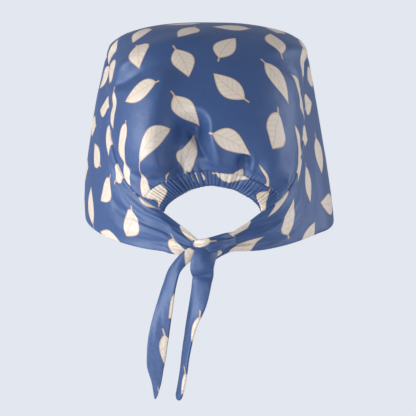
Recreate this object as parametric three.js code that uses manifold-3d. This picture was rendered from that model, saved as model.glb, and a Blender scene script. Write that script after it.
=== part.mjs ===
// A tie-back scrub cap of printed cotton, as it stands when worn. All sizes are in millimetres.
// The wearer faces +Y, so the nape, the gathered opening and the knotted ties are on the -Y side.
// +Z is up, and the origin lies inside the head opening, on the cap's middle plane.
// One crown panel runs from the front seam over the top and hangs down behind as a loose pouch, whose lower
// edge is gathered on elastic. One band goes round the forehead and the sides and narrows into two straps,
// which meet in a knot under the opening, and two tails hang from it.
import * as THREE from "three";
import Module from "manifold-3d";
import { mergeVertices } from "three/addons/utils/BufferGeometryUtils.js";

const wasm = await Module();
wasm.setup();

// Driving sizes.
const CLOTH = 1.6; // one layer of cotton with its seam allowance
const BAND_WALL = 2.0; // the band is two layers
const TIE_WALL = 2.4; // a tie is a folded and turned strip
const MITRE = 0.6; // how far an inner edge is drawn in, for each millimetre of wall
const PIECE_GAP = 0.4; // between neighbouring pieces, so that they stay separate solids

// The rim lies in one plane that falls towards the nape, and its plan is a squared ellipse.
const RIM = {
  halfWidth: 93.2,
  shift: 1, // to the right
  frontDepth: 98,
  frontSquareness: 2.2,
  backDepth: 107,
  backSquareness: 1.93,
  heightAtMiddle: 12.4,
  rise: 0.262, // for each millimetre forwards
};
// The rim stands out a little at the right rear: how far, at what angle from +X, and over what angle.
const RIM_FLARE = { out: 5, atDegrees: -22, spreadDegrees: 11 };
// How far the band stands out between rim and seam.
const BAND_BULGE = { right: 2, left: 4.6 };

// The crown from the front seam, over the top and down to the casing. seam is the right-hand edge, where the
// crown meets the band. mid is the crown's middle line. square is the squareness of the arch between them.
const CROWN_SECTIONS = [
  { name: "front seam", seamX: 62, seamY: 55, seamZ: 135, midY: 88, midZ: 131, square: 2.2, shift: 0 },
  { name: "front edge", seamX: 70, seamY: 34, seamZ: 137, midY: 79, midZ: 146, square: 2.4, shift: 0 },
  { name: "fore top", seamX: 73.6, seamY: 14, seamZ: 136.5, midY: 52, midZ: 154, square: 2.5, shift: 0.4 },
  { name: "top", seamX: 74.4, seamY: -5, seamZ: 133.6, midY: 12, midZ: 157.2, square: 2.45, shift: 0.6 },
  { name: "rear top", seamX: 73.4, seamY: -22, seamZ: 128, midY: -32, midZ: 153.7, square: 2.45, shift: 0.4 },
  { name: "shoulder", seamX: 71.2, seamY: -35, seamZ: 120.2, midY: -66, midZ: 144, square: 2.5, shift: 0.2 },
  { name: "upper back", seamX: 70, seamY: -47, seamZ: 108.2, midY: -91, midZ: 126, square: 2.45, shift: 0 },
  { name: "back", seamX: 69.6, seamY: -55, seamZ: 95.7, midY: -106, midZ: 104, square: 2.4, shift: 0 },
  { name: "pouch", seamX: 68.6, seamY: -64, seamZ: 77, midY: -113, midZ: 82, square: 2.3, shift: 0.2 },
  { name: "low pouch", seamX: 65.9, seamY: -73, seamZ: 57.4, midY: -113.5, midZ: 63, square: 2.2, shift: 1 },
  { name: "tuck", seamX: 58.5, seamY: -85, seamZ: 35.8, midY: -108.5, midZ: 50, square: 2, shift: 2.6 },
  { name: "casing top", seamX: 47, seamY: -94.5, seamZ: 22, midY: -101, midZ: 41.4, square: 1.8, shift: 3.8 },
];
const OPENING_EDGE = {
  name: "opening edge", seamX: 34.2, seamY: -100, seamZ: 14, midY: -95, midZ: 31.1, square: 1.65, shift: 4.2,
};

// Where each strap leaves the opening's corner and where it goes into the knot, as its two edges.
const STRAPS = {
  right: [
    { topX: 29.4, topZ: 7.4, footX: 27.5, footZ: -13.4, y: -102.5 },
    { topX: 20.4, topZ: 1.7, footX: 18.2, footZ: -13.6, y: -105.2 },
    { topX: 12, topZ: -3.6, footX: 11, footZ: -16.4, y: -107.4 },
    { topX: 5, topZ: -7, footX: 4.5, footZ: -20.4, y: -108.4 },
  ],
  left: [
    { topX: -21.6, topZ: 7.7, footX: -26, footZ: -15, y: -102.5 },
    { topX: -12, topZ: 0.3, footX: -16.5, footZ: -16.2, y: -105.4 },
    { topX: -4.8, topZ: -5.9, footX: -6, footZ: -16, y: -107.6 },
  ],
};

// Folds of the crown. across runs from -1 at the left seam to 1 at the right one, along from 0 at the front
// seam to 1 at the casing. A negative depth is a valley.
const CROWN_FOLDS = [
  { name: "left lobe", across: -0.66, along: 0.97, toAcross: -0.45, toAlong: 0.7, width: 20, depth: 5.5 },
  { name: "main dent", across: -0.1, along: 1, toAcross: -0.12, toAlong: 0.765, width: 12, depth: -7 },
  { name: "narrow dent", across: -0.36, along: 1, toAcross: -0.27, toAlong: 0.86, width: 6, depth: -3 },
  { name: "middle ridge", across: 0.04, along: 0.98, toAcross: 0.03, toAlong: 0.79, width: 6, depth: 3 },
  { name: "small lobe", across: 0.14, along: 0.98, toAcross: 0.13, toAlong: 0.85, width: 8, depth: 1.5 },
  { name: "right dent", across: 0.28, along: 0.99, toAcross: 0.225, toAlong: 0.86, width: 6, depth: -4 },
  { name: "right lobe", across: 0.56, along: 0.98, toAcross: 0.48, toAlong: 0.82, width: 14, depth: 3.5 },
  { name: "left drag", across: -0.98, along: 0.79, toAcross: -0.58, toAlong: 0.99, width: 7, depth: -3.2 },
  { name: "left high swell", across: -0.96, along: 0.6, toAcross: -0.6, toAlong: 0.65, width: 6, depth: 2 },
  { name: "left corner", across: -0.92, along: 0.4, toAcross: -0.45, toAlong: 0.46, width: 9, depth: -3 },
  { name: "left top ridge", across: -0.8, along: 0.56, toAcross: -0.14, toAlong: 0.51, width: 8, depth: 3.5 },
  { name: "left top valley", across: -0.8, along: 0.6, toAcross: -0.26, toAlong: 0.575, width: 7, depth: -3 },
  { name: "right top ridge", across: 0.93, along: 0.44, toAcross: 0.35, toAlong: 0.53, width: 8, depth: 3.2 },
];
const CLOTH_ACROSS = 100; // millimetres of cloth for one unit of across
const CLOTH_ALONG = 290; // and for one unit of along

// Folds of the band. round runs from 0 at the right strap's knot end to 1 at the left one, up from 0 to 1.
const BAND_FOLDS = [
  { name: "left pull", round: 0.845, up: 0.75, toRound: 0.885, toUp: 0.9, width: 7, depth: -3 },
  { name: "left crease", round: 0.835, up: 0.36, toRound: 0.9, toUp: 0.6, width: 7, depth: -3.5 },
  { name: "left swell", round: 0.84, up: 0.12, toRound: 0.91, toUp: 0.45, width: 8, depth: 2.5 },
  { name: "left low crease", round: 0.87, up: 0.08, toRound: 0.97, toUp: 0.38, width: 8, depth: -2.5 },
  { name: "left high crease", round: 0.765, up: 0.99, toRound: 0.69, toUp: 0.82, width: 7, depth: -1.6 },
  { name: "left side crease", round: 0.795, up: 0.97, toRound: 0.72, toUp: 0.76, width: 7, depth: -1.6 },
  { name: "right crease", round: 0.15, up: 0.55, toRound: 0.05, toUp: 0.85, width: 9, depth: -2.5 },
  { name: "right ridge", round: 0.13, up: 0.35, toRound: 0.045, toUp: 0.62, width: 8, depth: 2 },
  { name: "right low crease", round: 0.15, up: 0.1, toRound: 0.04, toUp: 0.35, width: 9, depth: -2.2 },
  { name: "front dent", round: 0.45, up: 0.96, toRound: 0.44, toUp: 0.62, width: 12, depth: -2.2 },
  { name: "front swell", round: 0.56, up: 0.98, toRound: 0.57, toUp: 0.66, width: 12, depth: 2 },
];
const BAND_ROUND = 620; // millimetres of cloth for one unit of round
const BAND_UP = 110; // and for one unit of up

// The gathered casing that holds the elastic.
const CASING = { thickness: 3.4, gathers: 24, gatherDepth: 0.9, scallop: 0.5 };
// Its section, from the stitch line round the inner face to the lower fold and up the outer face. down is the
// share of the way down, sunk the share of the thickness, and swell the share of the gathers' swell.
const CASING_OUTLINE = [
  { down: 0, sunk: 0, swell: 0 },
  { down: 0, sunk: 0.7, swell: 0 },
  { down: 0.9, sunk: 1, swell: 0 },
  { down: 1, sunk: 0.35, swell: 0.5 },
  { down: 0.75, sunk: 0, swell: 1 },
  { down: 0.35, sunk: 0, swell: 1 },
];

// Sections of the knot from the right strap to the left one: an upright oval at each x.
const KNOT_SECTIONS = [
  { x: 17.4, y: -105.8, z: -5.6, halfHeight: 4.6, halfDepth: 2, tilt: 10 },
  { x: 13.4, y: -107.8, z: -6.4, halfHeight: 5.4, halfDepth: 3.6, tilt: 12 },
  { x: 8.6, y: -109.6, z: -8, halfHeight: 6.4, halfDepth: 5, tilt: 10 },
  { x: 3.4, y: -110.6, z: -9.6, halfHeight: 6.8, halfDepth: 5.8, tilt: 4 },
  { x: -1.4, y: -110, z: -10.2, halfHeight: 6.4, halfDepth: 5, tilt: 0 },
  { x: -5.6, y: -108.6, z: -10.4, halfHeight: 5.4, halfDepth: 3.6, tilt: -4 },
  { x: -9, y: -107, z: -10.4, halfHeight: 4.2, halfDepth: 2, tilt: -6 },
];
const KNOT_PLEATS = { count: 5, depth: 0.7 };

// Each tail from inside the knot to its tip: the middle of the strip, its width, and how far it is turned
// about its length, where 0 faces the back and 90 shows its edge.
const TAILS = {
  tie_right: [
    { x: 1, y: -110.6, z: -10, width: 11, turn: 0 },
    { x: 0.2, y: -113.4, z: -13.4, width: 14.6, turn: 0 },
    { x: -2, y: -115.4, z: -19, width: 15.8, turn: 0 },
    { x: -3, y: -115.4, z: -24.4, width: 15.8, turn: 0 },
    { x: -2.8, y: -114.2, z: -31, width: 14.4, turn: 4 },
    { x: -3.8, y: -113.6, z: -39.8, width: 13.8, turn: 20 },
    { x: -6, y: -113, z: -50.1, width: 13.8, turn: 33 },
    { x: -9.5, y: -112, z: -61.6, width: 13.4, turn: 54 },
    { x: -12, y: -111, z: -72.8, width: 13.2, turn: 66 },
    { x: -14, y: -110, z: -84.5, width: 13.2, turn: 69 },
    { x: -15.5, y: -109.4, z: -96, width: 12.6, turn: 70 },
    { x: -17.5, y: -108.8, z: -107.3, width: 11.6, turn: 71 },
    { x: -19.5, y: -108.2, z: -115.4, width: 5, turn: 69 },
  ],
  tie_left: [
    { x: -4.4, y: -109.6, z: -12, width: 6.6, turn: 4 },
    { x: -8.6, y: -110.6, z: -14, width: 7.6, turn: 6 },
    { x: -14.2, y: -111, z: -17.6, width: 8.4, turn: 16 },
    { x: -19, y: -111, z: -22.6, width: 9, turn: 34 },
    { x: -22.4, y: -110.8, z: -28, width: 10.8, turn: 44 },
    { x: -25.4, y: -110.4, z: -37.7, width: 12.4, turn: 44 },
    { x: -27.8, y: -110, z: -47.3, width: 13.2, turn: 35 },
    { x: -32, y: -109.3, z: -67.3, width: 14.3, turn: 16 },
    { x: -33.5, y: -109, z: -76.3, width: 14.3, turn: 10 },
    { x: -34.5, y: -108.8, z: -85.9, width: 13.6, turn: 8 },
    { x: -35.1, y: -108.6, z: -92, width: 12.2, turn: 8 },
    { x: -34.4, y: -108.4, z: -103.4, width: 7, turn: 8 },
    { x: -35.3, y: -108, z: -115.2, width: 1.6, turn: 8 },
  ],
};

// A tail's section: a flat strip with rounded edges, as shares of its width and its thickness.
const TAIL_OUTLINE = [
  { aside: 0.5, through: 0 },
  { aside: 0.44, through: 0.5 },
  { aside: 0, through: 0.5 },
  { aside: -0.44, through: 0.5 },
  { aside: -0.5, through: 0 },
  { aside: -0.44, through: -0.5 },
  { aside: 0, through: -0.5 },
  { aside: 0.44, through: -0.5 },
];

// How finely each piece is faceted.
const FACETS = {
  crown: { across: 46, along: 30 },
  band: { round: 92, up: 7 },
  casing: { round: 96 },
  knot: { round: 20, along: 18 },
  tail: { along: 20 },
};

const BLUE_PRINT = { color: 0x566ea5, roughness: 0.62, metalness: 0 };
const BLUE_TIE = { color: 0x4d6499, roughness: 0.62, metalness: 0 };

const { lerp, clamp, smoothstep, degToRad, radToDeg } = THREE.MathUtils;

function smoothLine(rows, pick) {
  return new THREE.CatmullRomCurve3(rows.map(pick), false, "centripetal");
}

// The height of one fold at a place on the cloth, given in millimetres of cloth.
function foldHeight(place, from, to, width, depth) {
  const run = to.clone().sub(from);
  const share = clamp(place.clone().sub(from).dot(run) / run.lengthSq(), 0, 1);
  const aside = place.distanceTo(from.clone().addScaledVector(run, share)) / width;
  const growth = lerp(0.2, 1, smoothstep(share, 0, 0.3));
  const taper = 1 - 0.75 * share * share;
  return depth * growth * taper * Math.exp(-aside * aside);
}

// A wall of cloth. Its outer face is pointAt(s, t) for s and t from 0 to 1. Its inner face lies inside that,
// drawn in at the edges so that two walls can meet at an angle.
function clothWall(pointAt, columns, rows, thickness) {
  const step = 1e-3;
  const inset = (index, last) => (index === 0 ? MITRE : index === last ? -MITRE : 0) * thickness;
  const outer = [];
  const inner = [];
  for (let j = 0; j <= rows; j++) {
    for (let i = 0; i <= columns; i++) {
      const s = i / columns;
      const t = j / rows;
      const place = pointAt(s, t);
      const alongS = pointAt(Math.min(s + step, 1), t).sub(pointAt(Math.max(s - step, 0), t));
      const alongT = pointAt(s, Math.min(t + step, 1)).sub(pointAt(s, Math.max(t - step, 0)));
      const intoS = alongS.clone().setLength(inset(i, columns));
      const intoT = alongT.clone().setLength(inset(j, rows));
      const outward = alongS.cross(alongT).normalize();
      outer.push(place);
      inner.push(place.clone().addScaledVector(outward, -thickness).add(intoS).add(intoT));
    }
  }
  const width = columns + 1;
  const count = outer.length;
  const faces = [];
  const quad = (a, b, c, d) => faces.push(a, b, c, a, c, d);
  for (let j = 0; j < rows; j++) {
    for (let i = 0; i < columns; i++) {
      const k = j * width + i;
      quad(k, k + 1, k + width + 1, k + width);
      quad(count + k, count + k + width, count + k + width + 1, count + k + 1);
    }
  }
  for (let i = 0; i < columns; i++) {
    const top = rows * width + i;
    quad(i + 1, i, count + i, count + i + 1);
    quad(top, top + 1, count + top + 1, count + top);
  }
  for (let j = 0; j < rows; j++) {
    const left = j * width;
    const right = left + columns;
    quad(left, left + width, count + left + width, count + left);
    quad(right + width, right, count + right, count + right + width);
  }
  return facetedGeometry([...outer, ...inner], faces);
}

// A closed skin through rings of points, with a flat cap on the first ring and on the last.
function loftedSolid(rings) {
  const sides = rings[0].length;
  const points = rings.flat();
  const faces = [];
  for (let j = 0; j < rings.length - 1; j++) {
    for (let i = 0; i < sides; i++) {
      const a = j * sides + i;
      const b = j * sides + ((i + 1) % sides);
      faces.push(a, b, b + sides, a, b + sides, a + sides);
    }
  }
  for (const [ring, turned] of [[0, true], [rings.length - 1, false]]) {
    const middle = new THREE.Vector3();
    rings[ring].forEach((p) => middle.addScaledVector(p, 1 / sides));
    const hub = points.push(middle) - 1;
    for (let i = 0; i < sides; i++) {
      const a = ring * sides + i;
      const b = ring * sides + ((i + 1) % sides);
      faces.push(...(turned ? [hub, b, a] : [hub, a, b]));
    }
  }
  return facetedGeometry(points, faces);
}

function facetedGeometry(points, faces) {
  const geometry = new THREE.BufferGeometry().setFromPoints(points);
  geometry.setIndex(faces);
  return geometry;
}

function solidOf(geometry) {
  const merged = mergeVertices(geometry, 1e-3);
  return new wasm.Manifold(
    new wasm.Mesh({
      numProp: 3,
      vertProperties: merged.attributes.position.array,
      triVerts: new Uint32Array(merged.index.array),
    }),
  );
}

function geometryOf(solid) {
  const mesh = solid.getMesh();
  return new THREE.BufferGeometry()
    .setAttribute("position", new THREE.BufferAttribute(mesh.vertProperties, 3))
    .setIndex(new THREE.BufferAttribute(mesh.triVerts, 1));
}

// The crown's surface without its folds, from section rows.
function archSurface(sections) {
  const seamLine = smoothLine(sections, (r) => new THREE.Vector3(r.seamX, r.seamY, r.seamZ));
  const midLine = smoothLine(sections, (r) => new THREE.Vector3(r.shift, r.midY, r.midZ));
  const squareLine = smoothLine(sections, (r) => new THREE.Vector3(r.square, 0, 0));
  return (across, along) => {
    const seam = seamLine.getPoint(along);
    const mid = midLine.getPoint(along);
    const power = squareLine.getPoint(along).x;
    const angle = (across * Math.PI) / 2;
    const side = Math.sin(angle);
    const rise = Math.abs(Math.cos(angle));
    const reach = (Math.abs(side) ** power + rise ** power) ** (-1 / power);
    return new THREE.Vector3(
      mid.x + seam.x * side * reach,
      lerp(seam.y, mid.y, rise * reach),
      lerp(seam.z, mid.z, rise * reach),
    );
  };
}

const crownArch = archSurface(CROWN_SECTIONS);
const casingArch = archSurface([CROWN_SECTIONS.at(-1), OPENING_EDGE]);

function crownFoldAt(across, along) {
  const cloth = (a, l) => new THREE.Vector2(a * CLOTH_ACROSS, l * CLOTH_ALONG);
  const place = cloth(across, along);
  const flatAtSeam = 1 - Math.abs(across) ** 12;
  const flatInFront = smoothstep(along, 0, 0.08);
  let height = 0;
  for (const f of CROWN_FOLDS) {
    const from = cloth(f.across, f.along);
    const to = cloth(f.toAcross, f.toAlong);
    height += foldHeight(place, from, to, f.width, f.depth);
  }
  return height * flatAtSeam * flatInFront;
}

// s runs from the right seam to the left one, so that the outer face looks outwards.
function crownPoint(s, t) {
  const across = 1 - 2 * s;
  const along = t * (1 - PIECE_GAP / CLOTH_ALONG);
  const step = 1e-3;
  const place = crownArch(across, along);
  const sideways = crownArch(across - step, along).sub(crownArch(across + step, along));
  const before = crownArch(across, Math.max(along - step, 0));
  const onward = crownArch(across, Math.min(along + step, 1)).sub(before);
  const outward = sideways.cross(onward).normalize();
  return place.addScaledVector(outward, crownFoldAt(across, along));
}

function crown() {
  return clothWall(crownPoint, FACETS.crown.across, FACETS.crown.along, CLOTH);
}

// The rim under a place on the seam: the point of the rim in the same direction from the cap's middle.
function rimUnder(seamPlace) {
  const far = Math.hypot(seamPlace.x, seamPlace.y);
  const sideShare = seamPlace.x / far;
  const foreShare = seamPlace.y / far;
  const inFront = foreShare > 0;
  const depth = inFront ? RIM.frontDepth : RIM.backDepth;
  const power = inFront ? RIM.frontSquareness : RIM.backSquareness;
  const fromFlare = radToDeg(Math.atan2(seamPlace.y, seamPlace.x)) - RIM_FLARE.atDegrees;
  const flare = RIM_FLARE.out * Math.exp(-((fromFlare / RIM_FLARE.spreadDegrees) ** 2));
  const reach =
    flare +
    (Math.abs(sideShare / RIM.halfWidth) ** power + Math.abs(foreShare / depth) ** power) ** (-1 / power);
  const y = foreShare * reach;
  return new THREE.Vector3(RIM.shift + sideShare * reach, y, RIM.heightAtMiddle + RIM.rise * y);
}

// The band's two edges from the right strap's knot end, round the front, to the left strap's knot end.
function bandEdges() {
  const sections = [...CROWN_SECTIONS, OPENING_EDGE];
  const seamOn = (side) =>
    sections.map((r) => new THREE.Vector3(r.shift + side * r.seamX, r.seamY, r.seamZ));
  const frontSeam = [0.75, 0.5, 0.25, 0, -0.25, -0.5, -0.75].map((across) => crownArch(across, 0));
  const seam = [...seamOn(1).reverse(), ...frontSeam, ...seamOn(-1)];
  const rim = seam.map(rimUnder);
  const strapTop = (row) => new THREE.Vector3(row.topX, row.y, row.topZ);
  const strapFoot = (row) => new THREE.Vector3(row.footX, row.y, row.footZ);
  const rightRows = [...STRAPS.right].reverse();
  return {
    upper: smoothLine([...rightRows.map(strapTop), ...seam, ...STRAPS.left.map(strapTop)], (p) => p),
    lower: smoothLine([...rightRows.map(strapFoot), ...rim, ...STRAPS.left.map(strapFoot)], (p) => p),
  };
}

const { upper: bandUpper, lower: bandLower } = bandEdges();

function bandPoint(round, up) {
  const top = bandUpper.getPoint(round);
  const foot = bandLower.getPoint(round);
  const upward = top.clone().sub(foot);
  const height = upward.length();
  const share = up * (1 - PIECE_GAP / height);
  const step = 1e-3;
  const before = bandLower.getPoint(Math.max(round - step, 0));
  const onward = bandLower.getPoint(Math.min(round + step, 1)).sub(before);
  const outward = onward.cross(upward).normalize();
  const place = new THREE.Vector2(round * BAND_ROUND, up * BAND_UP);
  const bulge = lerp(BAND_BULGE.right, BAND_BULGE.left, smoothstep(round, 0.3, 0.7));
  let swell = bulge * clamp(height / BAND_UP, 0, 1) * (1 - Math.abs(2 * up - 1) ** 3);
  for (const f of BAND_FOLDS) {
    const from = new THREE.Vector2(f.round * BAND_ROUND, f.up * BAND_UP);
    const to = new THREE.Vector2(f.toRound * BAND_ROUND, f.toUp * BAND_UP);
    swell += foldHeight(place, from, to, f.width, f.depth) * (1 - Math.abs(2 * up - 1) ** 6);
  }
  return foot.lerp(top, share).addScaledVector(outward, swell);
}

function band() {
  return clothWall(bandPoint, FACETS.band.round, FACETS.band.up, BAND_WALL);
}

// The casing is a flat tube of cloth along the opening's upper edge, drawn into gathers by its elastic.
function casing() {
  const rings = [];
  const columns = FACETS.casing.round;
  const endGap = PIECE_GAP / OPENING_EDGE.seamX;
  for (let i = 0; i <= columns; i++) {
    const share = i / columns;
    const across = lerp(1 - endGap, endGap - 1, share);
    const top = casingArch(across, 0);
    const edge = casingArch(across, 1);
    const down = edge.clone().sub(top).normalize();
    const sideways = casingArch(across - 1e-3, 0.5).sub(casingArch(across + 1e-3, 0.5)).normalize();
    const outward = sideways.clone().cross(down).normalize();
    const ripple = Math.sin(share * CASING.gathers * 2 * Math.PI);
    const out = CASING.gatherDepth * ripple;
    const start = top.clone().addScaledVector(down, PIECE_GAP);
    start.addScaledVector(outward, crownFoldAt(across, 1));
    const end = edge.clone().addScaledVector(down, CASING.scallop * ripple);
    rings.push(
      CASING_OUTLINE.map((corner) =>
        start
          .clone()
          .lerp(end, corner.down)
          .addScaledVector(outward, out * corner.swell - CASING.thickness * corner.sunk),
      ),
    );
  }
  return loftedSolid(rings);
}

function knotRings(grow) {
  const rows = FACETS.knot.along;
  const line = (pick) => smoothLine(KNOT_SECTIONS, pick);
  const middle = line((r) => new THREE.Vector3(r.x, r.y, r.z));
  const size = line((r) => new THREE.Vector3(r.halfHeight, r.halfDepth, r.tilt));
  const rings = [];
  for (let j = 0; j <= rows; j++) {
    const centre = middle.getPoint(j / rows);
    const { x: halfHeight, y: halfDepth, z: tilt } = size.getPoint(j / rows);
    const lean = degToRad(tilt);
    const ring = [];
    for (let i = 0; i < FACETS.knot.round; i++) {
      const angle = (-i / FACETS.knot.round) * 2 * Math.PI;
      const pleat = 1 + (KNOT_PLEATS.depth * Math.cos(KNOT_PLEATS.count * angle + j * 0.25)) / halfHeight;
      const up = Math.cos(angle) * (halfHeight * pleat + grow);
      const out = Math.sin(angle) * (halfDepth * pleat + grow);
      const x = centre.x + up * Math.sin(lean);
      const z = centre.z + up * Math.cos(lean);
      ring.push(new THREE.Vector3(x, centre.y - out, z));
    }
    rings.push(ring);
  }
  if (grow > 0) {
    rings[0].forEach((p) => p.setX(p.x + grow));
    rings.at(-1).forEach((p) => p.setX(p.x - grow));
  }
  return rings;
}

// A tail is a strip that turns about its length as it falls.
function tail(rows) {
  const steps = FACETS.tail.along;
  const middle = smoothLine(rows, (r) => new THREE.Vector3(r.x, r.y, r.z));
  const shape = smoothLine(rows, (r) => new THREE.Vector3(r.width, r.turn, 0));
  const rings = [];
  for (let j = 0; j <= steps; j++) {
    const centre = middle.getPoint(j / steps);
    const { x: width, y: turn } = shape.getPoint(j / steps);
    const onward = middle.getTangent(j / steps);
    const level = new THREE.Vector3(0, 1, 0).cross(onward).normalize();
    const across = level.applyAxisAngle(onward, degToRad(turn));
    const through = onward.clone().cross(across).normalize();
    rings.push(
      TAIL_OUTLINE.map((corner) =>
        centre
          .clone()
          .addScaledVector(across, corner.aside * width)
          .addScaledVector(through, corner.through * TIE_WALL),
      ),
    );
  }
  return loftedSolid(rings);
}

function piece(name, geometry, look) {
  const mesh = new THREE.Mesh(geometry, new THREE.MeshStandardMaterial(look));
  mesh.name = name;
  return mesh;
}

const cap = new THREE.Group();
cap.name = "scrub_cap";
cap.add(piece("crown", crown(), BLUE_PRINT));
cap.add(piece("elastic_casing", casing(), BLUE_PRINT));
cap.add(piece("knot", loftedSolid(knotRings(0)), BLUE_TIE));
const roomForKnot = solidOf(loftedSolid(knotRings(PIECE_GAP)));
const besideKnot = (geometry) => geometryOf(solidOf(geometry).subtract(roomForKnot));
cap.add(piece("band", besideKnot(band()), BLUE_PRINT));
for (const [name, rows] of Object.entries(TAILS)) {
  cap.add(piece(name, besideKnot(tail(rows)), BLUE_TIE));
}

export default cap;
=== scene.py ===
import math

import bmesh
import bpy
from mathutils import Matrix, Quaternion, Vector, noise


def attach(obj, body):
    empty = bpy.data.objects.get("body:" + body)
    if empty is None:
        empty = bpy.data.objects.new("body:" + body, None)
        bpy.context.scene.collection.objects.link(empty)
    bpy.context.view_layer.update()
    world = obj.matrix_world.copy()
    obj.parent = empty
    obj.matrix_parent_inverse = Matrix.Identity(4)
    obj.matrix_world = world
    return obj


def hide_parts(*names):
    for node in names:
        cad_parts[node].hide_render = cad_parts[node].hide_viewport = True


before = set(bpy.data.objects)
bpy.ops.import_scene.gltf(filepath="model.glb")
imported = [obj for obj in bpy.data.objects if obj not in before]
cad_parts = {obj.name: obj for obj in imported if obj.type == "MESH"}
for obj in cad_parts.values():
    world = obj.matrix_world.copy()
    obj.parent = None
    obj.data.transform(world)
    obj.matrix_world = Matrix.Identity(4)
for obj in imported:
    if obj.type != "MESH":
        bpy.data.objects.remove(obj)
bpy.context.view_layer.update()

# The camera stands straight behind the cap, level with it, as the photograph was taken. The picture is 416
# pixels wide, and a pixel is 0.76 mm where the rim is widest. Sizes and places are in millimetres.
MM = 0.001
PICTURE = 416
PIXEL = 0.76
LENS = 135
SENSOR = 36
CAMERA_AWAY = PICTURE * PIXEL * LENS / SENSOR
LOOKS_AT = (1.1, 0, 16.7)

camera = bpy.data.objects.new("camera", bpy.data.cameras.new("camera"))
bpy.context.scene.collection.objects.link(camera)
camera.data.lens = LENS
camera.data.sensor_width = SENSOR
camera.data.clip_end = 50
camera.location = Vector((LOOKS_AT[0], -CAMERA_AWAY, LOOKS_AT[2])) * MM
camera.rotation_euler = (math.radians(90), 0, 0)
bpy.context.scene.camera = camera

# The crown is one panel of printed cotton poplin. It runs from the front seam over the top and hangs down
# behind as a loose pouch. It is sewn to the band at both sides, and its lower edge is drawn into gathers.
CLOTH_WALL = 1.3
CLOTH_ACROSS = 100
CLOTH_ALONG = 290
CROWN_GRID = (320, 150)
# Each row is one section from side seam to side seam: the seam on the right, the middle, how squarely the
# arch between them turns, and how far it is shifted to the right. The edge of the nape opening is one more.
CROWN_SECTIONS = [
    # seam x, y, z, middle y, z, squareness, shift
    (62, 55, 135, 88, 131, 2.2, 0),
    (70, 34, 137, 79, 146, 2.4, 0),
    (73.6, 14, 136.5, 52, 154, 2.5, 0.4),
    (74.4, -5, 133.6, 12, 157.2, 2.45, 0.6),
    (73.4, -22, 128, -32, 153.7, 2.45, 0.4),
    (71.2, -35, 120.2, -66, 144, 2.5, 0.2),
    (70, -47, 108.2, -91, 126, 2.45, 0),
    (69.6, -55, 95.7, -106, 104, 2.4, 0),
    (68.6, -64, 77, -113, 82, 2.3, 0.2),
    (65.9, -73, 57.4, -113.5, 63, 2.2, 1),
    (58.5, -85, 35.8, -108.5, 50, 2, 2.6),
    (47, -94.5, 22, -101, 41.4, 1.8, 3.8),
]
OPENING_EDGE = (34.2, -100, 14, -95, 31.1, 1.65, 4.2)

# Folds of the crown. A place on the cloth is across from -1 to 1, 100 mm to each side of the middle, and
# along from 0 to 1, 290 mm from the front seam to the gathers. A fold has its own width on the right hand and
# on the left hand of the way it runs. It rises over the first part of its way, and loses a share of its depth
# by the end.
FOLD_AT_START = 0.2
FOLD_RISES_BY = 0.3
CROWN_FOLDS = [
    # from across, along, to across, along, right mm, left mm, depth mm, loss
    (-0.5, 0.99, -0.29, 0.62, 11, 34, 4.5, 0.5),
    (-0.42, 0.99, -0.27, 0.64, 6, 17, 6, 0.45),
    (-0.66, 0.97, -0.45, 0.7, 20, 20, 2, 0.75),
    (-0.12, 0.78, -0.04, 0.92, 3, 3, -2.2, 0.3),
    (-0.3, 1, -0.24, 0.87, 3.5, 6, -3, 0.5),
    (-0.36, 1, -0.27, 0.86, 6, 6, -2, 0.75),
    (0.04, 0.98, 0.03, 0.79, 5, 5, 2.2, 0.75),
    (0.14, 0.98, 0.13, 0.85, 8, 8, 1.5, 0.75),
    (0.35, 0.97, 0.31, 0.87, 4, 4, 1.8, 0.75),
    (0.56, 0.98, 0.48, 0.82, 14, 14, 3.5, 0.75),
    (0.8, 0.92, 0.89, 1, 5, 5, 2.5, 0.75),
    (0.93, 0.86, 0.97, 0.99, 5, 5, -3, 0.75),
    (0.82, 0.58, 0.82, 0.72, 4, 4, -1.5, 0.75),
    (-0.98, 0.79, -0.58, 0.99, 7, 7, -3.2, 0.75),
    (-0.97, 0.66, -0.68, 0.69, 5, 5, -1.6, 0.75),
    (-0.96, 0.6, -0.6, 0.65, 6, 6, 2, 0.75),
    (-0.92, 0.4, -0.45, 0.46, 9, 9, -3, 0.75),
    (-0.7, 0.6, -0.1, 0.5, 5, 13, 4.6, 0.4),
    (-0.72, 0.63, -0.24, 0.585, 6, 6, -2.6, 0.6),
    (0.95, 0.42, 0.38, 0.53, 12, 7, 3.6, 0.5),
    (0.56, 0.56, 0.89, 0.62, 5, 5, -2, 0.75),
]
# Hollows where the loose cloth folds in under itself. Each has a round top and widens towards the gathers.
POCKETS = [
    # middle across, along, half width mm, up to the top mm, lean, spread, depth mm, tilt, loss
    (-0.13, 0.79, 13, 20, -0.1, 0.8, -13, 0.5, 0.85),
    (0.26, 0.91, 7, 10, 0.1, 0.3, -5, 0.5, 0.7),
]
POCKET_FLOOR = 0.35
POCKET_EDGE = 1.25
POCKET_ROUND = 2.4
# The gathers are fine rounded ridges on the casing and just above it. Chance makes them wander and makes them
# uneven: by which share, over which size, and with which run of chance.
CASING_HIGH = 9
GATHER_PITCH = 5.2
GATHER_DEPTH = 1.8
GATHER_BLUNT = 0.7
GATHER_LEVEL = 0.6
GATHER_REACH = 9
GATHER_WANDER = (0.65, 13)
GATHER_WANDER_DOWN = 0.4
GATHER_UNEVEN = (0.6, 9, 40)
GATHER_REACH_UNEVEN = (0.9, 8, 90)
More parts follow.
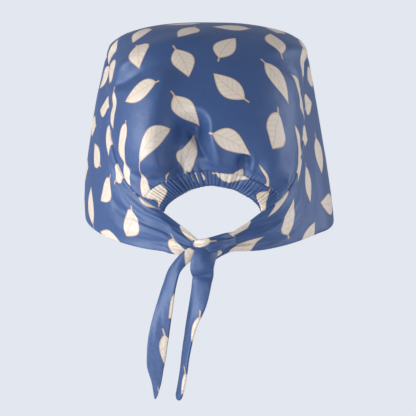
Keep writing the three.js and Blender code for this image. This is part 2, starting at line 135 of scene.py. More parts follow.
# The cloth stands up along the seams and is puckered by the stitches. It is a little crumpled all over.
SEAM_RISE = 1.5
SEAM_WIDTH = 2.4
SEAM_REACH = 16
PUCKER_LENGTH = 8
PUCKER_DEPTH = 1
PUCKER_STARTS = 3
PUCKER_REACH = 11
PUCKER_RUN_RIGHT = 3
PUCKER_RUN_LEFT = 50
CRUMPLES = [
    # size, depth
    (24, 1),
    (10, 0.4),
]
CRUMPLE_STARTS = 6
CRUMPLE_REACH = 34
CRUMPLE_FAR_OFF = 0.3
# Powers: the higher one is, the nearer to the seam the folds and the gathers go before they flatten.
FOLDS_END_AT_SEAM = 12
GATHERS_END_AT_SEAM = 14
FOLDS_START_ALONG = 0.08


def smooth_line(points):
    """A curve through the points for t from 0 to 1, eased by the square root of their spacing."""
    points = [Vector(p) for p in points]
    row = [points[0] * 2 - points[1], *points, points[-1] * 2 - points[-2]]

    def at(t):
        share = t * (len(points) - 1)
        i = min(int(share), len(points) - 2)
        share -= i
        p0, p1, p2, p3 = row[i : i + 4]
        d1 = (p2 - p1).length ** 0.5
        if d1 < 1e-4:
            d1 = 1
        d0 = (p1 - p0).length ** 0.5
        d2 = (p3 - p2).length ** 0.5
        if d0 < 1e-4:
            d0 = d1
        if d2 < 1e-4:
            d2 = d1
        leave = ((p1 - p0) / d0 - (p2 - p0) / (d0 + d1) + (p2 - p1) / d1) * d1
        arrive = ((p2 - p1) / d1 - (p3 - p1) / (d1 + d2) + (p3 - p2) / d2) * d1
        bend = (p2 - p1) * 3 - leave * 2 - arrive
        twist = (p1 - p2) * 2 + leave + arrive
        return p1 + (leave + (bend + twist * share) * share) * share

    return at


def ease(x, low, high):
    """From 0 at low to 1 at high, with a soft start and end."""
    share = min(max((x - low) / (high - low), 0), 1)
    return share * share * (3 - 2 * share)


def arch_surface(sections):
    """The surface through section rows, at across from -1 to 1 and along from 0 to 1."""
    seam_line = smooth_line([row[:3] for row in sections])
    middle_line = smooth_line([(row[6], row[3], row[4]) for row in sections])
    square_line = smooth_line([(row[5], 0, 0) for row in sections])

    def at(across, along):
        seam = seam_line(along)
        middle = middle_line(along)
        power = square_line(along).x
        side = math.sin(across * math.pi / 2)
        rise = abs(math.cos(across * math.pi / 2))
        reach = (abs(side) ** power + rise**power) ** (-1 / power)
        share = rise * reach
        return Vector(
            (
                middle.x + seam.x * side * reach,
                seam.y + (middle.y - seam.y) * share,
                seam.z + (middle.z - seam.z) * share,
            )
        )

    return at


def fold_height(place, start, end, right, left, depth, loss):
    """The height of one fold at a place on the cloth, all in millimetres of cloth."""
    run = end - start
    share = min(max((place - start).dot(run) / run.length_squared, 0), 1)
    aside = place - start - run * share
    hand = (run.x * aside.y - run.y * aside.x) / max(run.length * aside.length, 0.001)
    width = (right + left) / 2 + hand * (right - left) / 2
    growth = FOLD_AT_START + (1 - FOLD_AT_START) * ease(share, 0, FOLD_RISES_BY)
    return depth * growth * (1 - loss * share * share) * math.exp(-aside.length_squared / width**2)


def cloth_grid(grid, place):
    """A sheet of cloth. The vertex at shares s and t of its columns and rows lies at place(s, t)."""
    bm = bmesh.new()
    share = bm.verts.layers.float_vector.new("share")
    bmesh.ops.create_grid(bm, x_segments=grid[0], y_segments=grid[1], size=0.5)
    for vert in bm.verts:
        s, t = vert.co.x + 0.5, vert.co.y + 0.5
        vert[share] = (s, t, 0)
        vert.co = place(s, t) * MM
    bm.normal_update()
    return bm


def swell(bm, height):
    """Moves each vertex out by height(s, t)."""
    share = bm.verts.layers.float_vector["share"]
    moves = [height(v[share].x, v[share].y) * MM * v.normal for v in bm.verts]
    for vert, move in zip(bm.verts, moves):
        vert.co += move
    bm.normal_update()


def lay_print(bm, grid, first_row=0, shift=(0, 0)):
    """The print map: millimetres of cloth from the middle column, and along each column from first_row."""
    bm.verts.ensure_lookup_table()
    columns, rows = grid
    width = columns + 1
    place = [v.co / MM for v in bm.verts]
    sideways = [0.0] * len(place)
    onward = [0.0] * len(place)
    for j in range(rows + 1):
        for step in (1, -1):
            i = columns // 2
            while 0 <= i + step <= columns:
                here = j * width + i
                sideways[here + step] = sideways[here] + step * (place[here + step] - place[here]).length
                i += step
    for i in range(columns + 1):
        for step in (1, -1):
            j = first_row
            while 0 <= j + step <= rows:
                here = j * width + i
                there = here + step * width
                onward[there] = onward[here] + step * (place[there] - place[here]).length
                j += step
    layer = bm.loops.layers.uv.new("print")
    for face in bm.faces:
        for loop in face.loops:
            k = loop.vert.index
            loop[layer].uv = (sideways[k] + shift[0], onward[k] + shift[1])


def cloth_piece(bm, name, looks):
    """Makes the sheet an object, and frees it."""
    mesh = bpy.data.meshes.new(name)
    bm.to_mesh(mesh)
    bm.free()
    mesh.shade_smooth()
    for look in looks:
        mesh.materials.append(look)
    piece = bpy.data.objects.new(name, mesh)
    bpy.context.scene.collection.objects.link(piece)
    return piece


def give_wall(piece, thickness, offset=-1, rounds=0):
    """Gives the sheet a wall, with the face of the cloth outside and on the edges, and its reverse inside."""
    wall = piece.modifiers.new("wall", "SOLIDIFY")
    wall.thickness = thickness * MM
    wall.offset = offset
    wall.material_offset = len(piece.data.materials) - 1
    wall.material_offset_rim = 0
    if rounds:
        edge = piece.modifiers.new("rounding", "SUBSURF")
        edge.levels = edge.render_levels = rounds


def wobble(x, y, size):
    """Smooth chance from about -1 to 1 that changes over the size given. Another y is another run of it."""
    return noise.noise(Vector((x / size, y / size, 0)))


def seam_rise(from_seam):
    """The cloth stands up beside a seam, over its seam allowance, and settles back further away."""
    return SEAM_RISE * (1 - math.exp(-((from_seam / SEAM_WIDTH) ** 2))) * math.exp(-from_seam / SEAM_REACH)


cap_arch = arch_surface([*CROWN_SECTIONS, OPENING_EDGE])
CROWN_SHARE = (len(CROWN_SECTIONS) - 1) / len(CROWN_SECTIONS)


def crown_arch(across, along):
    """The crown's own part of the arched surface. The casing below it carries the same surface on."""
    return cap_arch(across, along * CROWN_SHARE)


def gather_height(across, from_stitch):
    """The fine gathers: rounded ridges with narrow creases between them, which wander, merge and die away."""
    x = across * CLOTH_ACROSS
    wander, wander_size = GATHER_WANDER
    uneven, size, run = GATHER_UNEVEN
    reach_uneven, reach_size, reach_run = GATHER_REACH_UNEVEN
    turns = x / GATHER_PITCH + wander * wobble(x, from_stitch * GATHER_WANDER_DOWN, wander_size)
    ridges = abs(math.sin(math.pi * turns)) ** GATHER_BLUNT * (1 + uneven * wobble(x, run, size))
    reach = GATHER_REACH * (1 + reach_uneven * wobble(x, reach_run, reach_size))
    fade = math.exp(-(((from_stitch + CASING_HIGH) / reach) ** 2))
    return GATHER_DEPTH * (ridges - GATHER_LEVEL) * fade * (1 - abs(across) ** GATHERS_END_AT_SEAM)


def pocket_height(cloth, across, along, half_width, to_top, lean, spread, depth, tilt, loss):
    """The height of one hollow at a place on the cloth: a floor that sinks to the right, and steep sides."""
    below = cloth.y - along * CLOTH_ALONG
    share = max(below, 0) / ((1 - along) * CLOTH_ALONG)
    aside = (cloth.x - across * CLOTH_ACROSS - lean * below) / (half_width * (1 + spread * share))
    above = max(-below, 0) / to_top
    from_middle = (abs(aside) ** POCKET_ROUND + above**POCKET_ROUND) ** (1 / POCKET_ROUND)
    floor = depth * (1 + tilt * min(max(aside, -1), 1)) * (1 - loss * min(share, 1))
    return floor * (1 - ease(from_middle, POCKET_FLOOR, POCKET_EDGE))


def crown_relief(across, along):
    """How far the cloth stands out from the arch: hollows, folds, gathers, seams, puckers and crumples."""
    cloth = Vector((across * CLOTH_ACROSS, along * CLOTH_ALONG))
    from_seam = (1 - abs(across)) * CLOTH_ACROSS
    height = sum(pocket_height(cloth, *row) for row in POCKETS)
    for from_across, from_along, to_across, to_along, right, left, depth, loss in CROWN_FOLDS:
        start = Vector((from_across * CLOTH_ACROSS, from_along * CLOTH_ALONG))
        end = Vector((to_across * CLOTH_ACROSS, to_along * CLOTH_ALONG))
        height += fold_height(cloth, start, end, right, left, depth, loss)
    height *= (1 - abs(across) ** FOLDS_END_AT_SEAM) * ease(along, 0, FOLDS_START_ALONG)
    height += gather_height(across, (1 - along) * CLOTH_ALONG)
    height += seam_rise(from_seam)
    pucker = wobble(cloth.y, PUCKER_RUN_RIGHT if across > 0 else PUCKER_RUN_LEFT, PUCKER_LENGTH)
    height += PUCKER_DEPTH * pucker * math.exp(-from_seam / PUCKER_REACH) * min(from_seam / PUCKER_STARTS, 1)
    near_seam = CRUMPLE_FAR_OFF + (1 - CRUMPLE_FAR_OFF) * math.exp(-from_seam / CRUMPLE_REACH)
    for size, depth in CRUMPLES:
        height += depth * wobble(cloth.x, cloth.y, size) * near_seam * min(from_seam / CRUMPLE_STARTS, 1)
    return height


crown_mesh = cloth_grid(CROWN_GRID, lambda s, t: crown_arch(1 - 2 * s, t))
swell(crown_mesh, lambda s, t: crown_relief(1 - 2 * s, t))
crown_mesh.verts.ensure_lookup_table()
stitch_line = [v.co.copy() for v in crown_mesh.verts[-CROWN_GRID[0] - 1 :]]
lay_print(crown_mesh, CROWN_GRID, first_row=CROWN_GRID[1] // 3)


# The cloth of every piece is cotton poplin, a smooth and close plain weave, dyed blue and printed with cream
# leaves. It gives the eye a broad, soft, cool sheen on the folds, with a fine broken grain. The print shows
# paler on the reverse.
def linear(code):
    """An sRGB hex colour as linear red, green, blue and alpha."""
    parts = [int(code[i : i + 2], 16) / 255 for i in (0, 2, 4)]
    return [(c / 12.92 if c <= 0.04045 else ((c + 0.055) / 1.055) ** 2.4) for c in parts] + [1]


def add(tree, kind, *values, **named):
    """Adds a node. The values, which may be other nodes' outputs, go to its open inputs in order. What is
    named is a setting or an input of that name. Gives the node's open output, or all if it has several."""
    node = tree.nodes.new("ShaderNode" + kind)
    for name, value in named.items():
        if hasattr(node, name):
            setattr(node, name, value)
    pairs = list(zip([socket for socket in node.inputs if socket.enabled], values))
    pairs += [(node.inputs[name.replace("_", " ")], named[name]) for name in named if not hasattr(node, name)]
    for socket, value in pairs:
        if isinstance(value, bpy.types.NodeSocket):
            tree.links.new(value, socket)
        else:
            socket.default_value = value
    outputs = [socket for socket in node.outputs if socket.enabled]
    return outputs if len(outputs) > 1 else outputs[0]


# The leaves stand in columns, with every second column dropped by half a pitch. Each leaf is moved a little
# and turned by chance. The pairs are where an edge starts and where it ends.
LEAF_PITCH_X = 33
LEAF_PITCH_Y = 37
LEAF_DRIFT = 5
LEAF_LENGTH = 28
LEAF_WIDTH = 15.5
LEAF_TAPER = 0.7
LEAF_BEND = 6.2
LEAF_BEND_MIDDLE = 1.2
STEM_WIDTH = 1.4
STEM_FROM = -0.62
STEM_TO = -0.35
PRINT_EDGE = (-0.15, 0.15)
LEAF_OUTLINE = (0.35, 0.9)
RIB_PITCH = 2.2
RIB_SLANT = -0.9
RIB_EDGE = (0.12, 0.4)
MIDRIB_EDGE = (0.2, 0.5)


def leaf_masks(tree, place):
    """Where the leaves are, from a place in millimetres: the whole leaf, what its tan outline leaves of it,
    and what its veins leave clear."""
    x, y, _ = add(tree, "SeparateXYZ", place)
    column = add(tree, "Math", add(tree, "Math", x, LEAF_PITCH_X, operation="DIVIDE"), operation="FLOOR")
    odd = add(tree, "Math", column, 2, operation="FLOORED_MODULO")
    dropped = add(tree, "Math", odd, LEAF_PITCH_Y / 2, y, operation="MULTIPLY_ADD")
    row = add(tree, "Math", add(tree, "Math", dropped, LEAF_PITCH_Y, operation="DIVIDE"), operation="FLOOR")
    cell = add(tree, "CombineXYZ", column, row)
    _, chance = add(tree, "TexWhiteNoise", cell, noise_dimensions="2D")
    room_x, room_y = LEAF_PITCH_X - LEAF_DRIFT, LEAF_PITCH_Y - LEAF_DRIFT
    in_cell = add(
        tree,
        "VectorMath",
        chance,
        (LEAF_DRIFT, LEAF_DRIFT, 0),
        (room_x / 2, room_y / 2, 0),
        operation="MULTIPLY_ADD",
    )
    middle = add(tree, "VectorMath", cell, (LEAF_PITCH_X, LEAF_PITCH_Y, 0), in_cell, operation="MULTIPLY_ADD")
    here = add(tree, "CombineXYZ", x, dropped)
    from_middle = add(tree, "VectorMath", here, middle, operation="SUBTRACT")
    turn = add(tree, "Math", add(tree, "SeparateXYZ", chance)[2], 2 * math.pi, operation="MULTIPLY")
    turned = add(tree, "VectorRotate", from_middle, Angle=turn, rotation_type="Z_AXIS")
    onward, sideways, _ = add(tree, "SeparateXYZ", turned)

    along = add(tree, "Math", onward, LEAF_LENGTH, operation="DIVIDE")
    square = add(tree, "Math", along, along, operation="MULTIPLY")
    bent = add(tree, "Math", square, LEAF_BEND, sideways, operation="MULTIPLY_ADD")
    aside = add(
        tree, "Math", add(tree, "Math", bent, LEAF_BEND_MIDDLE, operation="SUBTRACT"), operation="ABSOLUTE"
    )
    taper = add(tree, "Math", along, -LEAF_TAPER, 1, operation="MULTIPLY_ADD")
    lens = add(tree, "Math", 0.25, square, operation="SUBTRACT")
    blade = add(tree, "Math", lens, taper, operation="MULTIPLY")
    half_width = add(tree, "Math", blade, 2 * LEAF_WIDTH, operation="MULTIPLY")
    in_blade = add(tree, "Math", half_width, aside, operation="SUBTRACT")
    past_stem_start = add(tree, "Math", along, STEM_FROM, operation="SUBTRACT")
    before_stem_end = add(tree, "Math", STEM_TO, along, operation="SUBTRACT")
    stem_run = add(tree, "Math", past_stem_start, before_stem_end, operation="MINIMUM")
    in_stem = add(
        tree,
        "Math",
        add(tree, "Math", STEM_WIDTH / 2, aside, operation="SUBTRACT"),
        add(tree, "Math", stem_run, LEAF_LENGTH, operation="MULTIPLY"),
        operation="MINIMUM",
    )
    depth = add(tree, "Math", in_blade, in_stem, operation="MAXIMUM")
    leaf = add(tree, "MapRange", depth, *PRINT_EDGE)
    inner = add(tree, "MapRange", depth, *LEAF_OUTLINE)

    slant = add(tree, "Math", aside, RIB_SLANT, onward, operation="MULTIPLY_ADD")
    from_rib = add(tree, "Math", slant, RIB_PITCH, operation="PINGPONG")
    off_ribs = add(tree, "MapRange", from_rib, *RIB_EDGE)
    off_midrib = add(tree, "MapRange", aside, *MIDRIB_EDGE)
    return leaf, inner, add(tree, "Math", off_ribs, off_midrib, operation="MULTIPLY")


# Real poplin has about 40 threads to the centimetre. They are too fine to show here, so the weave is drawn
# with a thread every 0.9 mm. The fine crumple is for the creases that are too small for the mesh to carry.
THREAD = 0.9
THREAD_HEIGHT = 0.02
FINE_CRUMPLE = 9.1
FINE_CRUMPLE_HEIGHT = 0.9
DYE_PATCH = 28.6


def poplin(name, dye, leaf_colour, edge_colour, vein_colour, sheen):
    """Printed cotton poplin. The print follows the cloth, and the weave breaks up the light on it."""
    look = bpy.data.materials.new(name)
    look.use_nodes = True
    tree = look.node_tree
    shader = tree.nodes["Principled BSDF"]
    shader.inputs["Roughness"].default_value = 0.45
    shader.inputs["Specular IOR Level"].default_value = 1.0
    shader.inputs["Specular Tint"].default_value = linear("DDE8FF")
    shader.inputs["Sheen Weight"].default_value = sheen
    shader.inputs["Sheen Roughness"].default_value = 0.45
    shader.inputs["Sheen Tint"].default_value = linear("B9C8F0")
    place = add(tree, "UVMap", uv_map="print")
    leaf, inner, clear = leaf_masks(tree, place)
    patches = add(tree, "TexNoise", Vector=place, Scale=1 / DYE_PATCH, Detail=3.0, Roughness=0.6)[0]
    dyed = add(
        tree,
        "Mix",
        add(tree, "MapRange", patches, 0.3, 0.7),
        linear(dye[0]),
        linear(dye[1]),
        data_type="RGBA",
    )
    veined = add(tree, "Mix", clear, linear(vein_colour), linear(leaf_colour), data_type="RGBA")
    edged = add(tree, "Mix", inner, linear(edge_colour), veined, data_type="RGBA")
    printed = add(tree, "Mix", leaf, dyed, edged, data_type="RGBA")
    tree.links.new(printed, shader.inputs["Base Color"])

    thread_turns = add(tree, "VectorMath", place, Scale=2 * math.pi / THREAD, operation="SCALE")
    warp, weft, _ = add(tree, "SeparateXYZ", add(tree, "VectorMath", thread_turns, operation="SINE"))
    weave = add(tree, "Math", warp, weft, operation="MULTIPLY")
    crumple = add(tree, "TexNoise", Vector=place, Scale=1 / FINE_CRUMPLE, Detail=5.0, Roughness=0.55)[0]
    creased = add(tree, "Math", crumple, FINE_CRUMPLE_HEIGHT, operation="MULTIPLY")
    grain = add(tree, "Math", weave, THREAD_HEIGHT, creased, operation="MULTIPLY_ADD")
    bump = add(tree, "Bump", Height=grain, Distance=MM, Strength=0.5)
    tree.links.new(bump, shader.inputs["Normal"])
    return look


face_cloth = poplin(
    "printed_cotton_poplin",
    dye=("324F82", "375587"),
    leaf_colour="EADCCB",
    edge_colour="CDAA84",
    vein_colour="DCC6A8",
    sheen=0.05,
)
reverse_cloth = poplin(
    "reverse_of_printed_poplin",
    dye=("7E90BC", "8798C2"),
    leaf_colour="DDD9D6",
    edge_colour="B9B2B2",
    vein_colour="CFC9C6",
    sheen=0.1,
)

crown = cloth_piece(crown_mesh, "crown_panel", [face_cloth, reverse_cloth])
give_wall(crown, CLOTH_WALL)
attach(crown, "root")
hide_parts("crown")

# The casing is a strip of the same cotton, sewn to the crown's lower edge round the elastic that draws it in.
# It is a flat tube, ruched into fine upright pleats, and its lower fold is the edge of the nape opening.
CASING_THICK = 3.2
CASING_WALL = 0.4
CASING_GRID = (CROWN_GRID[0], 16)
CASING_TURNS = (0.4, 0.6)
CASING_SQUARE_TO = 0.97
CASING_SMOOTHED = 0.8
CASING_ROWS_MOVED = 4
A_LITTLE = 0.001


def casing_place(s, t):
    """t goes down the outer face from 0 to 0.5, round the lower fold, and up the inner face to 1."""
    across = 1 - 2 * s
    down = 1 - abs(2 * t - 1)
    place = cap_arch(across, CROWN_SHARE + (1 - CROWN_SHARE) * down)
    sideways = cap_arch(across - A_LITTLE, CASING_SQUARE_TO) - cap_arch(across + A_LITTLE, CASING_SQUARE_TO)
    fall = cap_arch(across, 1) - cap_arch(across, CROWN_SHARE)
    outward = sideways.cross(fall).normalized()
    return place - outward * CASING_THICK * ease(t, *CASING_TURNS)


def meet_edge(bm, columns, edge, rows_moved):
    """Moves the sheet's first row onto another sheet's edge, and the rows after it by less and less."""
    bm.verts.ensure_lookup_table()
    for i, target in enumerate(edge):
        move = target - bm.verts[i].co
        for j in range(rows_moved):
            bm.verts[j * (columns + 1) + i].co += move * (1 - ease(j, 0, rows_moved))


def casing_relief(s, t):
    """The crown's own relief carried on, smoothed towards the lower fold and on the inner face."""
    down = 1 - abs(2 * t - 1)
    kept = 1 - CASING_SMOOTHED * (down**4 if t < 0.5 else 1)
    return crown_relief(1 - 2 * s, 1 + CASING_HIGH * down / CLOTH_ALONG) * kept


casing_mesh = cloth_grid(CASING_GRID, casing_place)
swell(casing_mesh, casing_relief)
meet_edge(casing_mesh, CASING_GRID[0], stitch_line, CASING_ROWS_MOVED)
lay_print(casing_mesh, CASING_GRID)
casing = cloth_piece(casing_mesh, "gathered_casing", [face_cloth])
give_wall(casing, CASING_WALL)
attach(casing, "root")
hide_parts("elastic_casing")

# The band is cut in one with the straps. It goes round the forehead and the sides, and under the opening its
# two ends narrow into straps. It is two layers of poplin, turned at the rim and sewn to the crown.
BAND_WALL = 1.8
BAND_ROUND = 620
BAND_UP = 110
BAND_GRID = (330, 34)
# The rim seen from above is two half ovals, a front one and a back one, with a slight flare at the back right.
# It rises towards the front.
RIM_HALF_WIDTH = 93.2
RIM_SHIFT = 1
RIM_FRONT = 98
RIM_FRONT_SQUARE = 2.2
RIM_BACK = 107
RIM_BACK_SQUARE = 1.93
RIM_FLARE = 5
RIM_FLARE_AT = -22
RIM_FLARE_SPREAD = 11
RIM_HEIGHT = 12.4
RIM_RISE = 0.262
BAND_BULGE_RIGHT = 2
BAND_BULGE_LEFT = 4.6
BAND_SEAM_FULL_AT = 60
# The straps are drawn tight towards the knot, so long creases run along them. Elsewhere they nearly vanish.
DRAG_SIZE = 9
DRAG_STRETCH = 3.5
DRAG_DEPTH = 0.7
DRAG_ELSEWHERE = 0.25
DRAG_GROWS = (0.55, 0.85)
FOLDS_END_AT_EDGES = 6
STRAP_RIGHT = [
    # top x, z, foot x, z, y
    (29.4, 7.4, 27.5, -13.4, -102.5),
    (20.4, 1.7, 18.2, -13.6, -105.2),
    (12, -3.6, 11, -16.4, -107.4),
    (5, -7, 4.5, -20.4, -108.4),
]
STRAP_LEFT = [
    # top x, z, foot x, z, y
    (-21.6, 7.7, -26, -15, -102.5),
    (-12, 0.3, -16.5, -16.2, -105.4),
    (-4.8, -5.9, -6, -16, -107.6),
]
BAND_FOLD_LOSS = 0.75
BAND_FOLDS = [
    # from round, up, to round, up, width mm, depth mm
    (0.845, 0.75, 0.885, 0.9, 7, -2),
    (0.835, 0.36, 0.9, 0.6, 7, -2.6),
    (0.84, 0.12, 0.91, 0.45, 8, 1.5),
    (0.87, 0.08, 0.97, 0.38, 8, -1.8),
    (0.9, 0.9, 0.985, 0.6, 9, 1.5),
    (0.765, 0.99, 0.69, 0.82, 7, -1.6),
    (0.795, 0.97, 0.72, 0.76, 7, -1.6),
    (0.15, 0.55, 0.05, 0.85, 9, -2.5),
    (0.13, 0.35, 0.045, 0.62, 8, 2),
    (0.15, 0.1, 0.04, 0.35, 9, -2.2),
    (0.45, 0.96, 0.44, 0.62, 12, -2.2),
    (0.56, 0.98, 0.57, 0.66, 12, 2),
]


def rim_under(seam):
    """The point of the rim under a place on the seam, in the same direction from the cap's middle."""
    far = math.hypot(seam.x, seam.y)
    side, fore = seam.x / far, seam.y / far
    depth, power = (RIM_FRONT, RIM_FRONT_SQUARE) if fore > 0 else (RIM_BACK, RIM_BACK_SQUARE)
    reach = (abs(side / RIM_HALF_WIDTH) ** power + abs(fore / depth) ** power) ** (-1 / power)
    from_flare = (math.degrees(math.atan2(seam.y, seam.x)) - RIM_FLARE_AT) / RIM_FLARE_SPREAD
    reach += RIM_FLARE * math.exp(-from_flare * from_flare)
    x, y = side * reach + RIM_SHIFT, fore * reach
    return Vector((x, y, RIM_HEIGHT + RIM_RISE * y))


def seam_on(side):
    """The seam between crown and band, front to back, on the right for side 1 and the left for side -1."""
    return [Vector((row[6] + side * row[0], row[1], row[2])) for row in [*CROWN_SECTIONS, OPENING_EDGE]]


front_seam = [crown_arch(across, 0) for across in (0.75, 0.5, 0.25, 0, -0.25, -0.5, -0.75)]
seam = [*reversed(seam_on(1)), *front_seam, *seam_on(-1)]
rim = [rim_under(place) for place in seam]
right_tops = [Vector((x, y, z)) for x, z, _, _, y in reversed(STRAP_RIGHT)]
right_feet = [Vector((x, y, z)) for _, _, x, z, y in reversed(STRAP_RIGHT)]
left_tops = [Vector((x, y, z)) for x, z, _, _, y in STRAP_LEFT]
left_feet = [Vector((x, y, z)) for _, _, x, z, y in STRAP_LEFT]
band_upper = smooth_line([*right_tops, *seam, *left_tops])
band_lower = smooth_line([*right_feet, *rim, *left_feet])


def band_relief(s, t):
    """s goes round from the right strap's end to the left one's, and t goes up from the rim."""
    height = (band_upper(s) - band_lower(s)).length
    cloth = Vector((s * BAND_ROUND, t * BAND_UP))
    from_middle = abs(2 * t - 1)
    bulge = BAND_BULGE_RIGHT + (BAND_BULGE_LEFT - BAND_BULGE_RIGHT) * ease(s, 0.3, 0.7)
    out = bulge * min(height / BAND_UP, 1) * (1 - from_middle**3)
    out += seam_rise((1 - t) * height) * min(height / BAND_SEAM_FULL_AT, 1)
    drag = wobble(cloth.x / DRAG_STRETCH, cloth.y, DRAG_SIZE) + 0.5 * wobble(cloth.x, cloth.y, 2 * DRAG_SIZE)
    folds = DRAG_DEPTH * drag * (DRAG_ELSEWHERE + ease(abs(2 * s - 1), *DRAG_GROWS))
    for from_round, from_up, to_round, to_up, width, depth in BAND_FOLDS:
        start = Vector((from_round * BAND_ROUND, from_up * BAND_UP))
        end = Vector((to_round * BAND_ROUND, to_up * BAND_UP))
        folds += fold_height(cloth, start, end, width, width, depth, BAND_FOLD_LOSS)
    return out + folds * (1 - from_middle**FOLDS_END_AT_EDGES)


band_mesh = cloth_grid(BAND_GRID, lambda s, t: band_lower(s).lerp(band_upper(s), t))
swell(band_mesh, band_relief)
lay_print(band_mesh, BAND_GRID)
band = cloth_piece(band_mesh, "band_panel", [face_cloth, reverse_cloth])
give_wall(band, BAND_WALL, rounds=1)
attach(band, "root")
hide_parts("band")

# The knot is made of the two straps of poplin. The right one crosses over the left one, goes round it and
# comes down in front. The cloth is folded small here, so it lies in soft rolls with long creases.
WRAP_MIDDLE = Vector((1, -106, -10))
CORE_MIDDLE = Vector((1, -102, -10))
KNOT_WRAP = [
    # x, y, z, half width, half thickness
    (20, -104.6, -4, 4.6, 1),
    (14.5, -109, -5.2, 4.9, 1.7),
    (8.5, -113, -7.2, 5.3, 2.4),
    (2, -115.2, -8.8, 5.2, 2.5),
    (-3.6, -113.6, -9.4, 4.8, 2.3),
    (-7.4, -109.4, -9.4, 4.2, 2),
    (-7.2, -105, -8, 3.4, 1.4),
]
KNOT_CORE = [
    # x, y, z, half width, half thickness
    (14, -106.6, -8.5, 5, 1.6),
    (9, -107.5, -10, 6.5, 3),
    (2, -108.8, -11.5, 7.4, 3.6),
    (-5, -107.8, -11, 6, 3),
    (-10, -106, -10, 4.4, 1.4),
]
KNOT_GRID = (56, 60)
KNOT_CREASE_TURNS = 6.6
KNOT_CREASE_DEPTH = 0.55
KNOT_CREASE_WANDER = 2
KNOT_CHANCE_ROUND = 12
KNOT_CHANCE_ALONG = 30
KNOT_CHANCE_SIZE = 8
KNOT_ENDS_CLOSE_WITHIN = 0.01


def heading(line, t):
    """The way a line runs at t."""
    return (line(min(t + A_LITTLE, 1)) - line(max(t - A_LITTLE, 0))).normalized()


def roll_of_cloth(name, path, middle, print_shift):
    """A flattened roll of cloth along a path, its flat side turned away from the middle of the knot."""
    line = smooth_line([row[:3] for row in path])
    size = smooth_line([(half_width, half_thick, 0) for _, _, _, half_width, half_thick in path])

    def place(s, t):
        onward = heading(line, t)
        out = line(t) - middle
        out = (out - onward * out.dot(onward)).normalized()
        half_width, half_thick, _ = size(t)
        side, lift = math.cos(2 * math.pi * s), -math.sin(2 * math.pi * s)
        chance = wobble(t * KNOT_CHANCE_ALONG, s * KNOT_CHANCE_ROUND, KNOT_CHANCE_SIZE)
        crease = KNOT_CREASE_DEPTH * math.cos(KNOT_CREASE_TURNS * side + KNOT_CREASE_WANDER * chance)
        thick = lift * half_thick + crease * max(lift, 0)
        return line(t) + onward.cross(out) * side * half_width + out * thick

    roll_mesh = cloth_grid(KNOT_GRID, place)
    lay_print(roll_mesh, KNOT_GRID, shift=print_shift)
    bmesh.ops.remove_doubles(roll_mesh, verts=roll_mesh.verts, dist=KNOT_ENDS_CLOSE_WITHIN * MM)
    bmesh.ops.holes_fill(roll_mesh, edges=roll_mesh.edges)
    bmesh.ops.recalc_face_normals(roll_mesh, faces=roll_mesh.faces)
    roll = cloth_piece(roll_mesh, name, [face_cloth])
    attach(roll, "root")
    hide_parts("knot")


roll_of_cloth("knot_wrap", KNOT_WRAP, WRAP_MIDDLE, print_shift=(0, 20))
roll_of_cloth("knot_core", KNOT_CORE, CORE_MIDDLE, print_shift=(20, 10))

# The two ties are strips of the band's cloth, folded and turned, so each is a flat soft tube. They hang free
# from the knot and turn as they fall. The left one ends in a long point, and the right one turns edge on.
TIE_WALL = 1.9
TIE_GRID = (14, 96)
TIE_PRINT = {"tie_right": (28, 28), "tie_left": (26, 10)}
TIE_RUMPLE = 0.35
TIE_RUMPLE_SIZE = 7
TIE_RUMPLE_RUN = 60
TIES = {
    "tie_right": [
        # x, y, z, width, turn, cup
        (3, -110.4, -9, 12, 0, 1.5),
        (0.4, -113.6, -13, 15, 0, 2.5),
        (-2, -115.8, -19, 16, 0, 3),
        (-3, -115.8, -24.4, 16, 0, 2.5),
        (-2.4, -114, -29.4, 14.8, 2, 0.6),
        (-3, -114, -34, 13.8, 10, 1.4),
        (-3.8, -113.6, -39.8, 13.8, 20, 1.2),
        (-6, -113, -50.1, 13.8, 33, 1),
        (-9.5, -112, -61.6, 13.4, 54, 0.8),
        (-12, -111, -72.8, 13.4, 66, 0.8),
        (-14, -110, -84.5, 13.4, 69, 1),
        (-15.5, -109.4, -96, 12.8, 70, 1),
        (-17.5, -108.8, -107.3, 12, 71, 0.6),
        (-19, -108.4, -113.4, 9.6, 69, 0.3),
        (-19.6, -108.2, -115.8, 4, 69, 0),
    ],
    "tie_left": [
        # x, y, z, width, turn, cup
        (-3, -110, -10, 7, 0, 1),
        (-8, -110.8, -13, 7.6, 4, 1.4),
        (-14.2, -111, -17.6, 8.4, 16, 1.4),
        (-19, -111, -22.6, 9, 34, 1.2),
        (-22.4, -110.8, -28, 10.8, 44, 1),
        (-25.4, -110.4, -37.7, 12.4, 44, 1),
        (-27.8, -110, -47.3, 13.2, 35, 1),
        (-30.2, -109.6, -58.4, 14, 25, 1),
        (-32, -109.3, -67.3, 14.3, 16, 1),
        (-33.5, -109, -76.3, 14.3, 10, 0.8),
        (-34.5, -108.8, -85.9, 13.6, 8, 0.6),
        (-35.1, -108.6, -92, 12.4, 8, 0.5),
        (-34.4, -108.4, -103.4, 7, 8, 0.2),
        (-35, -108.2, -112.4, 2.8, 8, 0),
        (-35.4, -108, -115.2, 0.8, 8, 0),
    ],
}


def tie_surface(path):
    """The middle sheet of a tie: a strip along the path, level across, then turned and cupped."""
    line = smooth_line([row[:3] for row in path])
    shape = smooth_line([row[3:] for row in path])

    def place(s, t):
        onward = heading(line, t)
        width, turn, cup = shape(t)
        level = Vector((0, 1, 0)).cross(onward).normalized()
        level.rotate(Quaternion(onward, math.radians(turn)))
        through = onward.cross(level)
        facing = 1 if through.y < 0 else -1
        aside = 2 * s - 1
        away = cup * (1 - aside * aside)
        away += TIE_RUMPLE * wobble(aside * width, t * TIE_RUMPLE_RUN, TIE_RUMPLE_SIZE)
        return line(t) + level * (aside * width / 2) + through * (facing * away)

    return place


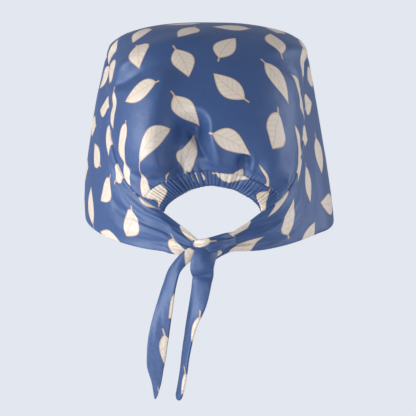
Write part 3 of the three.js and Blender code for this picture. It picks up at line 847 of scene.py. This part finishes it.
for name, path in TIES.items():
    tie_mesh = cloth_grid(TIE_GRID, tie_surface(path))
    lay_print(tie_mesh, TIE_GRID, shift=TIE_PRINT[name])
    tie = cloth_piece(tie_mesh, name + "_cloth", [face_cloth])
    give_wall(tie, TIE_WALL, offset=0, rounds=1)
    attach(tie, "root")
    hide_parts(name)

# The studio has a plain pale floor well below the cap, painted matt, and an even pale room. A broad soft
# light stands on the left and a weaker one on the right. A faint low one is like light thrown up by a table.
FLOOR_BELOW = 600
FLOOR_ACROSS = 5000
PALE = "E3E7F0"
ROOM_FRONT = 0.46
ROOM_BACK = 0.45
ROOM_TOP = 0.9
LIGHTS = {
    # place in metres, width, height, watts
    "left_window": ((-1.62, -0.68, 0.15), 1.2, 1.7, 28),
    "right_window": ((1.78, 0, 0.4), 1.2, 1.4, 13),
    "table_bounce": ((-0.22, -0.87, -0.46), 0.7, 0.6, 3),
}
LIGHTS_FACE = Vector((0, 0, 0.05))

floor_mesh = bmesh.new()
bmesh.ops.create_circle(floor_mesh, cap_ends=True, segments=96, radius=FLOOR_ACROSS / 2 * MM)
bmesh.ops.translate(floor_mesh, vec=(0, 0, -FLOOR_BELOW * MM), verts=floor_mesh.verts)
floor = bpy.data.objects.new("floor", bpy.data.meshes.new("floor"))
floor_mesh.to_mesh(floor.data)
floor_mesh.free()
bpy.context.scene.collection.objects.link(floor)
floor_paint = bpy.data.materials.new("pale_matt_paint")
floor_paint.use_nodes = True
floor_shader = floor_paint.node_tree.nodes["Principled BSDF"]
floor_shader.inputs["Base Color"].default_value = linear(PALE)
floor_shader.inputs["Roughness"].default_value = 0.8
floor.data.materials.append(floor_paint)

room = bpy.data.worlds.new("room")
bpy.context.scene.world = room
room.use_nodes = True
air = room.node_tree.nodes["Background"]
air.inputs["Color"].default_value = linear(PALE)
_, fore, up = add(room.node_tree, "SeparateXYZ", add(room.node_tree, "TexCoord")[0])
wall = add(
    room.node_tree, "MapRange", fore, -0.7, 0.5, ROOM_FRONT, ROOM_BACK, interpolation_type="SMOOTHSTEP"
)
ceiling = add(room.node_tree, "MapRange", up, 0.1, 0.9, 1, ROOM_TOP, interpolation_type="SMOOTHSTEP")
lit = add(room.node_tree, "Math", wall, ceiling, operation="MULTIPLY")
seen = add(room.node_tree, "LightPath")[0]
strength = add(room.node_tree, "Mix", seen, lit, 1, data_type="FLOAT")
room.node_tree.links.new(strength, air.inputs["Strength"])
bpy.context.scene.view_settings.view_transform = "Standard"

for name, (place, width, height, watts) in LIGHTS.items():
    light = bpy.data.objects.new(name, bpy.data.lights.new(name, "AREA"))
    light.data.shape = "RECTANGLE"
    light.data.size = width
    light.data.size_y = height
    light.data.energy = watts
    light.visible_camera = False
    light.location = place
    light.rotation_euler = (LIGHTS_FACE - Vector(place)).to_track_quat("-Z", "Y").to_euler()
    bpy.context.scene.collection.objects.link(light)
